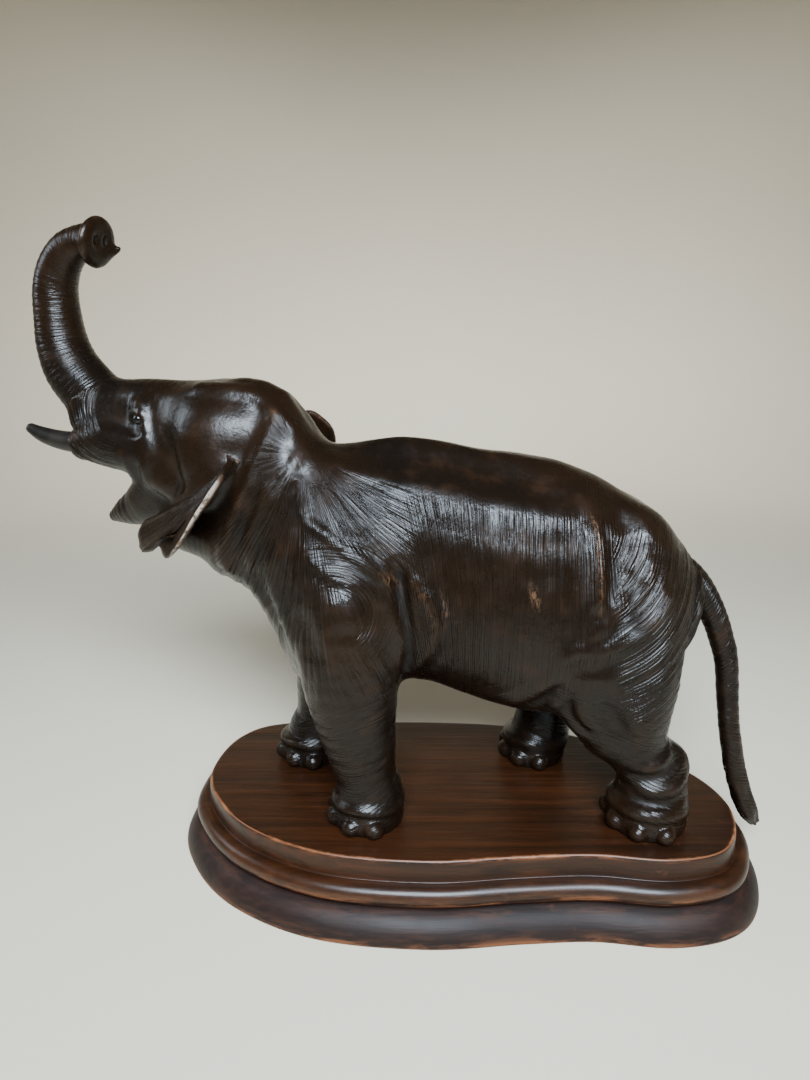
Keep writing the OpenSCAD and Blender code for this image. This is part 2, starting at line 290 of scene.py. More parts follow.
def skull(q):
    """The head in its own frame, the same on both sides."""
    m = near_side(q)
    narrow = m.copy()
    narrow[:, 1] *= 1.28 + 0.35 * step(m[:, 0], -28, -10)
    d = limb(narrow, [[-14, 0, 212.5, 29], [-32, 0, 215.5, 26.2], [-50, 0, 218, 22.6],
                      [-68, 0, 220.5, 20], [-84, 0, 222, 17.6]]) * 0.9
    d = join(d, egg(m, (-16, 0, 212.5), (25, 18.5, 29.5)), 4)
    d = join(d, egg(m, (-28, -1.5, 211.5), (27, 25, 27)), 9)           # temple
    d = join(d, ball(m, (-26, -8, 203), 18), 6)                        # jaw muscle
    d = join(d, limb(m, [[-20, 0, 192, 20], [-52, 0, 194, 13]], 1), 6)
    d = join(d, limb(m, [[-44, -9, 208, 13], [-72, -11.5, 209.5, 11.5], [-86, -12.6, 211, 10.6],
                         [-97, -13.6, 210.6, 8.6]]), 4)                # tusk sheath
    d = join(d, limb(m, [[-92, 0, 219, 13], [-105, 0, 219, 9.6]], 1), 5)
    d = join(d, limb(m, TRUNK), 6)
    jaw = limb(m, [[-44, 0, 192, 13.5], [-66, 0, 182, 11.2], [-82, 0, 177.2, 9.4], [-97, 0, 171, 3.2]])
    jaw = cut(jaw, limb(m, [[-68, 0, 194, 5], [-84, 0, 187.5, 4.2], [-100, 0, 178, 3]], 2), 2)
    d = join(d, jaw, 2.5)
    # corner of the mouth
    d = join(d, limb(m, [[-56, -9, 201, 9.5], [-66, -7, 193, 9], [-72, -5, 186, 7.5]]), 9)
    d = cut(d, limb(m, [[-82, 0, 195.5, 2.4], [-92, 0, 194.6, 5.8], [-106, 0, 190, 8]]), 2.4)
    d = join(d, limb(m, [[-64, -13, 228, 3.4], [-61, -15, 221, 3.3], [-57, -16.2, 210, 3.0],
                         [-56, -15, 197, 3.4]]), 6)                    # ridge from brow to jaw
    d = join(d, ball(m, (-48, -12, 196.5), 9.5), 6)
    d = join(d, limb(m, [[-14, -20.5, 205, 4.5], [-22, -22.5, 199, 5], [-34, -20.5, 190.5, 5],
                         [-48, -13, 182, 4.5]]), 5)                    # root of the ear
    d = d + 0.7 * bump(m, (-47, -19, 221), (13, 14, 22))               # hollow behind the brow
    d = d + 1.7 * bump(m, (-46, -22, 206), (14, 13, 19))
    d = d + 3.4 * bump(m, (12, -4, 228), (13, 16, 14))                 # nape
    d = d + 1.6 * bump(m, (-64, -17, 221.5), (6, 9, 6))                # eye socket
    d = d + 1.4 * bump(m, (-77, -16, 226), (13, 10, 10))
    return d


def past_joint(q):
    """Distance past the face of the trunk's joint, out along the trunk."""
    return (q - TRUNK_JOINT) @ np.array([-math.sin(TRUNK_LEAN), 0, math.cos(TRUNK_LEAN)])


TOES = {"front_left": 205, "front_right": 200, "hind_left": 205, "hind_right": 195}
TOE_SPREAD = (-80, -42, -4, 34, 72)


def nails(leg):
    """Centres and radii of a foot's nails."""
    x, y = FOOT_AT[leg]
    reach = FOOT_R[leg] - 3.0
    for i, turn in enumerate(TOE_SPREAD):
        a = math.radians(TOES[leg] + turn)
        r = 5.1 - 0.2 * abs(i - 2)
        yield (x + reach * math.cos(a), y + reach * math.sin(a), STAND_TOP + r - 0.2), r


def foot(p, leg):
    """A foot: a domed pad, a roll of skin above the nails, and the nails."""
    x, y = FOOT_AT[leg]
    r = FOOT_R[leg]
    ahead = math.radians(TOES[leg])
    fx, fy = x + 1.6 * math.cos(ahead), y + 1.6 * math.sin(ahead)
    d = egg(p, (fx, fy, STAND_TOP + 5), (r - 2.5, r - 2.5, 14.5))
    thick = 3.8 if leg.startswith("hind") else 2.2
    turn = np.arctan2(p[:, 1] - fy, p[:, 0] - fx)
    ring = np.hypot(p[:, 0] - fx, p[:, 1] - fy) - (r - 2.2 - thick)
    height = STAND_TOP + 12.4 + 1.2 * np.sin(2 * (turn - ahead))
    d = join(d, np.hypot(ring, p[:, 2] - height) - thick, 2.4)
    toes = np.full(len(p), 1e9)
    for centre, size in nails(leg):
        toes = np.minimum(toes, egg(p, centre, (size, size, size * 0.95)))
    return join(d, toes, 0.6)


def block(p):
    """Field of the carved block, from the trunk to the rump and the feet."""
    d = torso(p)
    for leg in LEGS:
        d = join(d, limb(p, LIMBS[leg]), 8)
    d = join(d, limb(p, KNEE_LEFT), 7)
    d = join(d, limb(p, KNEE_RIGHT), 7)
    d = join(d, limb(p, THROAT), 9)
    d = join(d, ball(p, (92.5, -29.5, 67), 9.8), 4)
    d = join(d, ball(p, (53, 28, 68), 8.5), 4)
    d = join(d, skull(to_head(p)), 5)
    d = d + 2.0 * bump(near_side(p), (-105, -12, 142), (20, 34, 36))
    for leg in LEGS:
        d = join(d, foot(p, leg), 3)
    return bluff(d, STAND_TOP - p[:, 2], 0.5)


def bluff(a, b, k):
    """Overlap of two fields, its edge rounded by about k."""
    return -join(-a, -b, k)


# ---- carved folds and tool strokes
# folds of skin on the body: width, height, then points x, y, z on the left side
BODY_FOLDS = [
    (6.5, 2.8, [[49, -26, 190], [50.5, -33, 173], [51.5, -39, 157], [50, -41, 145]]),
    (12, -4.0, [[63, -26, 180], [64, -34, 164], [62, -39, 148]]),
    (6, 1.6, [[66, -33, 171], [63, -38, 157], [55, -41, 143], [44, -41, 134]]),
    (6, 1.8, [[82, -30, 163], [80, -37, 151], [70, -42, 140], [58, -42, 133]]),
    (6, 1.3, [[33, -39, 124], [42, -40, 130], [54, -41, 131], [64, -43, 136]]),
    (6, -1.1, [[30, -38, 117], [40, -40, 122], [52, -42, 123], [62, -43, 127]]),
    (7, 2.2, [[8, -29, 98], [22, -34, 106], [33, -37, 117], [44, -40, 129]]),
    (5, -2.0, [[14, -28, 92], [28, -33, 101], [38, -37, 111]]),
    (5, -5.0, [[-35, -37, 168], [-33, -37, 157], [-31, -35, 140], [-30, -31, 126], [-32, -24, 112]]),
    (5, 2.2, [[-26, -37, 160], [-21, -37, 150], [-19, -36, 138], [-22, -32, 126], [-28, -25, 114]]),
    (3.6, -2.0, [[-17, -38, 158], [-14, -38, 147], [-13, -37, 134], [-18, -32, 121]]),
    (4.5, 1.8, [[-74, -27, 187], [-66, -30, 181], [-54, -34, 172], [-44, -37, 165], [-38, -38, 159]]),
    (5, 1.5, [[-75, -30, 172], [-64, -35, 164], [-52, -38, 160], [-42, -39, 153]]),
    (3, 0.9, [[-84, -22, 198], [-80, -21.5, 201.5], [-77, -22, 200], [-74.5, -25, 190], [-73, -28, 180],
              [-74, -31, 170]]),
    (4.5, -0.9, [[-82, -22, 196], [-79, -26, 186], [-80, -30, 172]]),
    (5, 1.4, [[-84, -18, 211], [-90, -20, 203], [-94, -22, 194]]),
    (3, -1.1, [[-79, -17, 212], [-84, -20, 204], [-88, -22, 197]]),
    (7, 2.4, [[-84, -21, 204], [-93, -23, 190], [-99, -23, 174], [-97, -25, 156]]),
    (6, -2.0, [[-92, -19, 202], [-101, -20, 186], [-107, -20, 170]]),
    (6, 1.8, [[-96, -19, 198], [-107, -19, 182], [-113, -18, 166], [-108, -20, 150]]),
    (6, 2.0, [[-86, -28, 178], [-90, -29, 160], [-88, -31, 142], [-81, -33, 124]]),
    (5, -1.8, [[-95, -24, 168], [-97, -24, 150], [-90, -28, 133]]),
    (5, 1.6, [[-104, -20, 160], [-102, -20, 146], [-94, -23, 132]]),
    (9, -2.0, [[-78, -37, 150], [-74, -42, 136], [-68, -43, 120]]),
    (12, 1.8, [[-62, -42, 160], [-57, -44, 150], [-55, -46, 138]]),
    (9, 1.4, [[60, -43, 116], [70, -46, 100], [74, -45, 88]]),
    (8, -1.8, [[52, -43, 112], [60, -45, 98], [67, -43, 86]]),
    (5, 1.6, [[37, -37, 108], [36, -37, 98], [42, -39, 89], [51, -42, 84]]),
    (3.6, -1.4, [[43, -41, 108], [42, -41, 99], [47, -42, 92], [54, -43, 88]]),
    (4, 1.2, [[70, -43, 74], [79, -45, 73], [88, -43, 77], [94, -38, 84]]),
    (3.6, -1.4, [[68, -42, 68], [78, -45, 67], [89, -44, 70], [97, -38, 76]]),
    (4, 1.4, [[70, -41, 62], [80, -45, 61], [92, -44, 62], [101, -37, 66]]),
    (3.6, -1.3, [[70, -41, 56], [80, -45, 55], [92, -44, 55.5], [102, -37, 57]]),
]
# the edge between back and flank, and the hollows on both sides of it
BACK_FOLDS = [
    (12, 1.5, [[-74, -15, 211], [-62, -18, 206], [-50, -21.5, 201.5], [-33, -25, 196], [-1, -29, 190.5],
               [28, -30, 185.5], [49, -26, 187]]),
    (14, 1.1, [[-46, -28, 189], [-15, -33, 181.5], [12, -36, 176], [34, -36, 173]]),
    (15, -3.2, [[-52, -8, 212.5], [-35, -12.5, 211.5], [-10, -15.5, 208.5], [14, -17, 203.5],
                [36, -17, 197]]),
    (9, -2.0, [[60, -16, 190], [66, -24, 180], [68, -30, 168]]),
]
# folds on the head, in its own frame
HEAD_FOLDS = [
    (5, 1.5, [[-40, -9, 238.5], [-30, -11, 239], [-18, -13, 239], [-5, -13.5, 237.5], [6, -13, 228],
              [17, -9, 216]]),
    (9, -1.2, [[-50, 0, 240], [-32, 0, 242], [-14, 0, 243]]),
    (7, -0.5, [[-34, -18, 234], [-20, -20, 235.5], [-6, -20, 231], [4, -19, 222]]),
    (3.6, 0.8, [[-68, -14, 230.5], [-64, -14.5, 231], [-61.4, -15.4, 229], [-60, -18, 223],
                [-58, -20, 216]]),
    (3.0, 0.9, [[-69.5, -14.6, 222], [-67.5, -15.6, 225.6], [-63.4, -16.4, 226.4],
                [-59.6, -17.2, 224.4]]),
    (2.4, 0.8, [[-69, -15, 221.4], [-64.5, -17, 219.9], [-60, -18, 221.6]]),
    (2.2, -0.8, [[-69, -15, 218.4], [-64, -17.5, 216.8], [-58.6, -19, 218.6]]),
    (2.4, 0.6, [[-70, -15, 216.4], [-64, -18, 214.4], [-58, -20, 216.4]]),
    (4, 0.9, [[-58, -23, 207], [-60, -23, 199], [-62, -18, 190]]),
    (4, -1.0, [[-63, -22, 207], [-65, -20, 198], [-68, -14, 190]]),
    (3.4, 0.8, [[-68, -22, 206], [-70, -18, 199], [-72, -12, 194]]),
    (3.5, 1.0, [[-92, -14, 201.4], [-84, -16, 199.5], [-76, -14.5, 199]]),
]


# x and z of the edge between back and flank, and of the places that strokes run round
BACK_EDGE = ([-90, -73, -52, -33, -1, 30, 50, 70, 90], [240, 211, 202, 197, 191, 185, 186, 178, 168])
WITHERS, ELBOW, HAUNCH, CHEEK = (-76, 213), (-62, 147), (34, 186), (-75, 231)
FAN = 48                  # mm from the withers at which the fanned strokes have their true spacing
# wave length and depth of each family of strokes: flank, shoulder, elbow, haunch, legs, cheek, trunk
STROKES = [(3.6, 0.12), (3.6, 0.26), (3.6, 0.22), (4.2, 0.26), (6.5, 0.06), (3.6, 0.38),
           (3.2, 0.13 * 2.2)]
SHOULDER = 1


def distance_from(place, x, z):
    return np.hypot(x - place[0], z - place[1])


def stroke_fields(p):
    """Phases in mm across the tool strokes, and how strongly each family of strokes shows."""
    m = near_side(p)
    q = to_head(p)
    h = near_side(q)
    x, z = m[:, 0], m[:, 2]
    wobble = 3.0 * (noise(p, 26, 3) - 0.5)
    in_head = 1 - step(past_neck(q), -6, 8)
    body = 1 - in_head
    on_trunk = step(past_joint(q), -6, 2)
    low = 1 - step(z, 96, 128)
    elbow = distance_from(ELBOW, x, z)
    cheek = distance_from(CHEEK, h[:, 0], h[:, 2])
    front = (1 - step(x, -38, -22)) * (1 - low)
    rear = step(x, 55, 66) * (1 - step(z, 176, 190)) * step(z, 84, 104)
    facing = ((x - ELBOW[0]) * 0.87 + (z - ELBOW[1]) * 0.5) / np.maximum(elbow, 1)
    at_elbow = ((1 - step(elbow, 26, 36)) * step(facing, -0.1, 0.6) * step(z, 112, 124)
                * step(elbow, 8, 16))
    edge_z = np.interp(x, *BACK_EDGE)
    below_edge = 1 - step(z, edge_z - 3, edge_z + 3)
    flank_turn = 0.45 * (WITHERS[1] - z) * (1 - step(x, -50, 15))
    on_cheek = step(h[:, 2], 195, 200) * step(cheek, 13, 18) * (1 - step(h[:, 0], -82, -70))
    trunk_line = spline(TRUNK, 4)[:, :3]
    trunk_way = np.interp(along(q, trunk_line)[1], np.arange(len(trunk_line)), lengths(trunk_line))
    return [
        (x - flank_turn + wobble,
         body * (1 - front) * (1 - rear) * (1 - low) * (0.12 + 0.88 * below_edge)),
        (np.arctan2(x - WITHERS[0], WITHERS[1] - z) * FAN + wobble,
         body * front * (1 - at_elbow) * step(distance_from(WITHERS, x, z), 6, 20)
         * (0.1 + 0.9 * below_edge) * (1 - 0.75 * bump(m, (-60, -44, 142), (18, 30, 30)))),
        (elbow + wobble * 0.9, body * at_elbow * 0.6),
        (distance_from(HAUNCH, x, z) + wobble,
         body * rear * (0.2 + 0.8 * below_edge) * (0.35 + 0.65 * step(z, 112, 148))),
        (z + 0.3 * np.abs(x - 20) + 2 * wobble, body * low * 0.35),
        (cheek + wobble * 0.4, in_head * on_cheek * (1 - on_trunk)),
        (trunk_way + wobble * 0.3, in_head * on_trunk * 0.3),
    ]


# places rubbed bare: width, strength, then points x, y, z on the left side
BARE = [
    (1.8, 0.7, [[48, -26, 188], [51, -31, 182], [51.5, -36, 170], [52, -40, 156], [52, -41, 147]]),
    (3.5, 0.3, [[-27, -38, 160], [-21, -38, 150], [-19, -37, 138], [-22, -33, 126]]),
    (3.5, 0.5, [[-41, -37, 164], [-36, -38, 160], [-33, -38, 156]]),
    (2.6, 0.7, [[22, -41, 160], [24, -41, 154], [25, -41, 150]]),
    (2.0, 0.4, [[-16, -39, 158], [-14, -39, 148], [-14, -38, 138]]),
]


def bare(p):
    """How far the lacquer is rubbed off along the carving's most handled lines, 0 to 1."""
    m = near_side(p)
    out = np.zeros(len(p))
    for width, strength, points in BARE:
        out = np.maximum(out, fold(m, points, width, strength))
    return out


def past_neck(q):
    """How far behind the head a point is, in mm."""
    return q[:, 0] + 4 + 0.5 * (205 - q[:, 2])


def carve(p, n):
    """How far the tool left each point of the carved block above the plain form, in mm."""
    m = near_side(p)
    m = m + 1.6 * (noise(p, 19, 11)[:, None] - 0.5) * np.array([1, 0, 1])
    q = to_head(p)
    h = near_side(q)
    out = np.zeros(len(p))
    for folds, flat in ((BODY_FOLDS, 0.5), (BACK_FOLDS, 1.0)):
        for width, height, points in folds:
            out += fold(m, points, width, height, flat)
    head = np.zeros(len(p))
    for width, height, points in HEAD_FOLDS:
        head += fold(h, points, width, height)
    in_head = 1 - step(past_neck(q), -8, 4)
    out = out * (1 - in_head) + head * (1 - step(past_neck(q), 12, 22))
    for i, ((phase, weight), (length, depth)) in enumerate(zip(stroke_fields(p), STROKES)):
        drift = 2.2 * noise(p, 22, 20 + i)
        wave = np.sin(2 * math.pi * phase / length + drift)
        wave = wave + 0.5 * np.sin(2 * math.pi * phase / (length * 0.61) + 2 * drift)
        patchy = 0.35 + 1.1 * noise(p, 15, 40 + i)
        if i == SHOULDER:                                 # too fine to model close to the withers
            weight = weight * step(distance_from(WITHERS, m[:, 0], m[:, 2]), 24, 46)
        out += depth * weight * wave * patchy
    rough = 0.4 + 0.6 * (1 - in_head)
    out += rough * (0.5 * (noise(p, 13, 60) - 0.5) + 0.2 * (noise(p, 6, 61) - 0.5))
    keep = step(p[:, 2], STAND_TOP + 0.2, STAND_TOP + 4)
    nail = np.zeros(len(p))
    for leg in LEGS:
        for centre, size in nails(leg):
            nail = np.maximum(nail, 1 - step(ball(p, centre, size), 0.2, 1.5))
    return out * keep * (1 - 0.85 * nail)


# ---- meshes from fields
def in_chunks(field, p, size=100000):
    """The field's values, worked out for so many points at a time to save memory."""
    return np.concatenate([field(p[i:i + size]) for i in range(0, len(p), size)])


def sample(field, low, shape, cell, coarse=4):
    """Field on a regular grid; far from the surface it is only interpolated from a coarser grid."""
    small = [(n - 1 + coarse - 1) // coarse + 1 for n in shape]
    axes = [low[k] + cell * coarse * np.arange(small[k]) for k in range(3)]
    f = in_chunks(field, np.stack(np.meshgrid(*axes, indexing="ij"), -1).reshape(-1, 3)).reshape(small)
    for axis in range(3):
        t = np.arange(shape[axis]) / coarse
        i = np.minimum(t.astype(int), small[axis] - 2)
        w = (t - i).reshape([-1 if k == axis else 1 for k in range(3)])
        f = np.take(f, i, axis) * (1 - w) + np.take(f, i + 1, axis) * w
    near = np.abs(f) < coarse * cell * 1.2 + 2
    index = np.argwhere(near)
    f[near] = in_chunks(field, low + cell * index)
    return f


def surface(field, low, high, cell):
    """Quads of the field's zero surface (surface nets on a regular grid)."""
    low = np.asarray(low, float)
    shape = np.ceil((np.asarray(high, float) - low) / cell).astype(int) + 1
    f = sample(field, low, shape, cell)
    inside = f < 0
    small = tuple(shape - 1)
    where = np.zeros(small + (3,))
    count = np.zeros(small)
    for axis in range(3):
        lo, hi = [slice(None)] * 3, [slice(None)] * 3
        lo[axis], hi[axis] = slice(0, -1), slice(1, None)
        a, b = f[tuple(lo)], f[tuple(hi)]
        cross = (a < 0) != (b < 0)
        t = np.where(cross, a / np.where(cross, a - b, 1), 0)
        u, v = [k for k in range(3) if k != axis]
        for o1 in (0, 1):
            for o2 in (0, 1):
                part = [slice(None)] * 3
                part[u] = slice(o1, shape[u] - 1 + o1)
                part[v] = slice(o2, shape[v] - 1 + o2)
                c = cross[tuple(part)]
                count += c
                where[..., axis] += np.where(c, t[tuple(part)], 0)
                where[..., u] += c * o1
                where[..., v] += c * o2
    used = count > 0
    number = -np.ones(used.shape, int)
    number[used] = np.arange(used.sum())
    verts = low + cell * (np.argwhere(used) + where[used] / count[used][:, None])
    faces = []
    for axis in range(3):
        u, v = [k for k in range(3) if k != axis]
        lo, hi = [slice(1, -1)] * 3, [slice(1, -1)] * 3
        lo[axis], hi[axis] = slice(0, -1), slice(1, None)
        a, b = inside[tuple(lo)], inside[tuple(hi)]
        base = np.argwhere(a != b)
        flip = a[tuple(base.T)]
        base[:, u] += 1
        base[:, v] += 1
        corners = []
        for o1, o2 in ((-1, -1), (0, -1), (0, 0), (-1, 0)):
            c = base.copy()
            c[:, u] += o1
            c[:, v] += o2
            corners.append(number[tuple(c.T)])
        quad = np.stack(corners, 1)
        if axis == 1:
            flip = ~flip
        quad[~flip] = quad[~flip][:, ::-1]
        faces.append(quad)
    return verts, np.vstack(faces)


def sides(faces):
    """The four edges of every quad, each with its lower point first."""
    return np.sort(np.stack([faces, np.roll(faces, -1, 1)], -1).reshape(-1, 2), 1)


def split(verts, faces):
    """Every quad into four."""
    n = len(verts)
    unique, back = np.unique(sides(faces), axis=0, return_inverse=True)
    mids = n + back.reshape(-1, 4)
    centres = n + len(unique) + np.arange(len(faces))
    verts = np.vstack([verts, verts[unique].mean(1), verts[faces].mean(1)])
    quads = [np.stack([faces[:, k], mids[:, k], centres, mids[:, k - 1]], 1) for k in range(4)]
    return verts, np.vstack(quads)


def links(faces):
    """Each edge of the mesh once."""
    return np.unique(sides(faces), axis=0)


def spread(values, edges, rounds):
    """Values averaged with their neighbours along the edges."""
    v = np.asarray(values, float)
    flat = v.reshape(len(v), -1)
    count = np.bincount(edges.ravel(), minlength=len(v))[:, None]
    for _ in range(rounds):
        total = np.stack([np.bincount(edges[:, 0], flat[edges[:, 1], k], len(v))
                          + np.bincount(edges[:, 1], flat[edges[:, 0], k], len(v))
                          for k in range(flat.shape[1])], 1)
        flat = 0.5 * flat + 0.5 * total / np.maximum(count, 1)
    return flat.reshape(v.shape)


def normals(verts, faces):
    c = np.cross(verts[faces[:, 2]] - verts[faces[:, 0]], verts[faces[:, 3]] - verts[faces[:, 1]])
    n = np.stack([sum(np.bincount(faces[:, k], c[:, j], len(verts)) for k in range(4))
                  for j in range(3)], 1)
    return n / np.maximum(np.linalg.norm(n, axis=1), 1e-9)[:, None]


def settle(field, verts, faces, rounds=3):
    """Moves points along their normals onto the field's surface."""
    edges = links(faces)
    for _ in range(rounds):
        n = normals(verts, faces)
        verts = verts - n * np.clip(in_chunks(field, verts), -1.2, 1.2)[:, None]
        verts = verts + 0.25 * (spread(verts, edges, 1) - verts)
    n = normals(verts, faces)
    return verts - n * np.clip(in_chunks(field, verts), -0.8, 0.8)[:, None]


def convexity(verts, faces, rounds):
    """How much each point stands out from its surroundings, in mm: ridges above 0, grooves below."""
    edges = links(faces)
    apart = ((verts - spread(verts, edges, rounds)) * normals(verts, faces)).sum(1)
    return spread(apart, edges, 2)


def add_object(name, data):
    obj = bpy.data.objects.new(name, data)
    bpy.context.scene.collection.objects.link(obj)
    return obj


def write_mesh(name, verts, faces, attributes=None):
    """A smooth mesh object from millimetre points and quads, with float attributes on its points."""
    mesh = bpy.data.meshes.new(name)
    verts, faces = np.asarray(verts, float), np.asarray(faces, int)
    mesh.vertices.add(len(verts))
    mesh.vertices.foreach_set("co", (verts * MM).ravel())
    mesh.loops.add(faces.size)
    mesh.loops.foreach_set("vertex_index", faces.ravel())
    mesh.polygons.add(len(faces))
    mesh.polygons.foreach_set("loop_start", np.arange(len(faces)) * faces.shape[1])
    mesh.polygons.foreach_set("loop_total", np.full(len(faces), faces.shape[1]))
    mesh.update(calc_edges=True)
    mesh.polygons.foreach_set("use_smooth", [True] * len(faces))
    for key, values in (attributes or {}).items():
        a = mesh.attributes.new(key, "FLOAT", "POINT")
        a.data.foreach_set("value", np.asarray(values, np.float32))
    mesh.update()
    return add_object(name, mesh)


def place(obj, slot, node, material):
    """Rides the piece on the object's one body, in place of a CAD node."""
    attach(obj, ROOT)
    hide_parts(node)
    obj.data.materials.append(material)


MARGIN = 6                # room left around a CAD node's box
NEAR_ROUNDS = 6           # rounds of averaging that find ridges and grooves


def carved_piece(name, field, node, cell, slot, carving, material):
    """Piece cut from a field, with its carving pressed in, and the values its material reads."""
    low, high = node_box(node)
    v, f = split(*surface(field, low - MARGIN, high + MARGIN, cell))
    v = settle(field, v, f)
    n = normals(v, f)
    v = v + n * carving(v, n)[:, None]
    above_feet = step(v[:, 2], STAND_TOP + 12, STAND_TOP + 22)
    data = {"edge": convexity(v, f, NEAR_ROUNDS) * (0.25 + 0.75 * above_feet),
            "form": convexity(v, f, 40), "bare": bare(v)}
    for i, (phase, weight) in enumerate(stroke_fields(v)):
        data["phase%d" % i], data["weight%d" % i] = phase, weight
    place(write_mesh(name, v, f, data), slot, node, material)


BODY_CELL, TRUNK_CELL, TUSK_CELL = 2.4, 1.8, 1.5       # grid the surfaces are first found on


def make_block(material):
    def field(p):
        return bluff(block(p), past_joint(to_head(p)), 0.2)
    carved_piece("carved_block", field, "elephant_body", BODY_CELL, "carved_wood", carve, material)


def make_trunk(material):
    def field(p):
        q = to_head(p)
        d = join(skull(q), egg(q, TRUNK_TIP, (3.6, TIP_R, TIP_R), 10), 2.5)
        d = cut(d, egg(q, TRUNK_TIP + [3.8, 0, 0.6], (1.5, TIP_R - 2.8, TIP_R - 2.8), 10), 1.2)
        for side in (-1, 1):
            d = cut(d, egg(q, TRUNK_TIP + [2.4, 3.2 * side, 0.5], (1.4, 1.4, 2.3), 10), 1.0)
        d = join(d, limb(q, [[-92, 7.6, 297.5, 2.8], [-88.8, 9.5, 298.3, 1.9],
                             [-86.8, 10.2, 299, 1.0]]), 2)
        tuck = 0.3 * (1 - step(past_joint(q), -1.6, 0.3))
        return bluff(d + tuck, -3 - past_joint(q), 0.2)
    carved_piece("trunk_carving", field, "trunk", TRUNK_CELL, "carved_wood", carve, material)


def make_tail(material):
    line = spline(np.array(TAIL)[:, :3], 4)

    def carving(p, n):
        t = along(p, line)[1] / (len(line) - 1)
        middle = np.interp(t, np.linspace(0, 1, len(line)), line[:, 1])
        turn = np.arctan2(p[:, 1] - middle, n[:, 2] + n[:, 0])
        hair = step(t, 0.62, 0.8)
        rings = 0.07 * (1 - hair) * np.sin(t * 210 + 2 * noise(p, 8, 5))
        return (rings + hair * 0.5 * np.sin(7 * turn + 3 * noise(p, 12, 6))
                + 0.3 * (noise(p, 5, 7) - 0.5))
    tip = [[143.5, -12, 27, 3.4], [147, -12, 21.6, 1.6]]
    carved_piece("tail_carving", lambda p: join(limb(p, TAIL), limb(p, tip, 1), 2), "tail",
                 TRUNK_CELL, "carved_wood", carving, material)


def make_tusk(side, material):
    points = np.array(TUSK)
    points[:, 1] *= side
    centres = from_head(points[:, :3])
    line = np.hstack([centres, points[:, 3:]])
    node = "tusk_left" if side > 0 else "tusk_right"
    carved_piece(node + "_carving", lambda p: limb(p, line), node, TUSK_CELL, "tusk_wood",
                 lambda p, n: 0.2 * (noise(p, 4, 8) - 0.5), material)


# ---- ears
EAR_ROOT = [[-10, -24, 211], [-14, -23.5, 205], [-21, -24, 199], [-30, -22.5, 193], [-40, -17.5, 187],
            [-48, -12, 182]]
EAR_RIM = {"left": [[-8.7, -28, 210.6], [-7.8, -34, 207.3], [-8.2, -39, 203], [-12, -42, 196.6],
                    [-18.2, -42.4, 188.3], [-24.1, -41, 180.8], [-30.3, -39, 173.7], [-36, -37, 168.4]],
           "right": [[6.6, -44.4, 207.6], [1, -47, 201.6], [-7, -47.5, 195.6], [-15.5, -46, 189],
                     [-22.5, -43.5, 181.5], [-30, -40, 173.5], [-36, -37, 168.4]]}
EAR_TOP = {"left": [[-10, -24, 211], [-9.2, -26, 211.2], [-8.7, -28, 210.6]],
           "right": [[-10, -24, 211], [-6.5, -30, 221.4], [-2.5, -35.5, 223.8], [2.4, -40, 219.8],
                     [5.8, -42.6, 214.4], [6.6, -44.4, 207.6]]}
EAR_HEM = [[-48, -12, 182], [-60, -16, 177], [-66.6, -20.5, 171.4], [-65.4, -24.6, 166],
           [-59.5, -28, 164.4], [-52.5, -30.4, 165.6], [-48.6, -31.5, 168.6], [-45.6, -33, 166],
           [-40.5, -35.4, 165.2], [-36, -37, 168.4]]


def ear_edge(points, count):
    """Points evenly spaced along the smooth curve through the given ones."""
    line = spline(points, 12)
    return even(line, np.linspace(0, lengths(line)[-1], count))


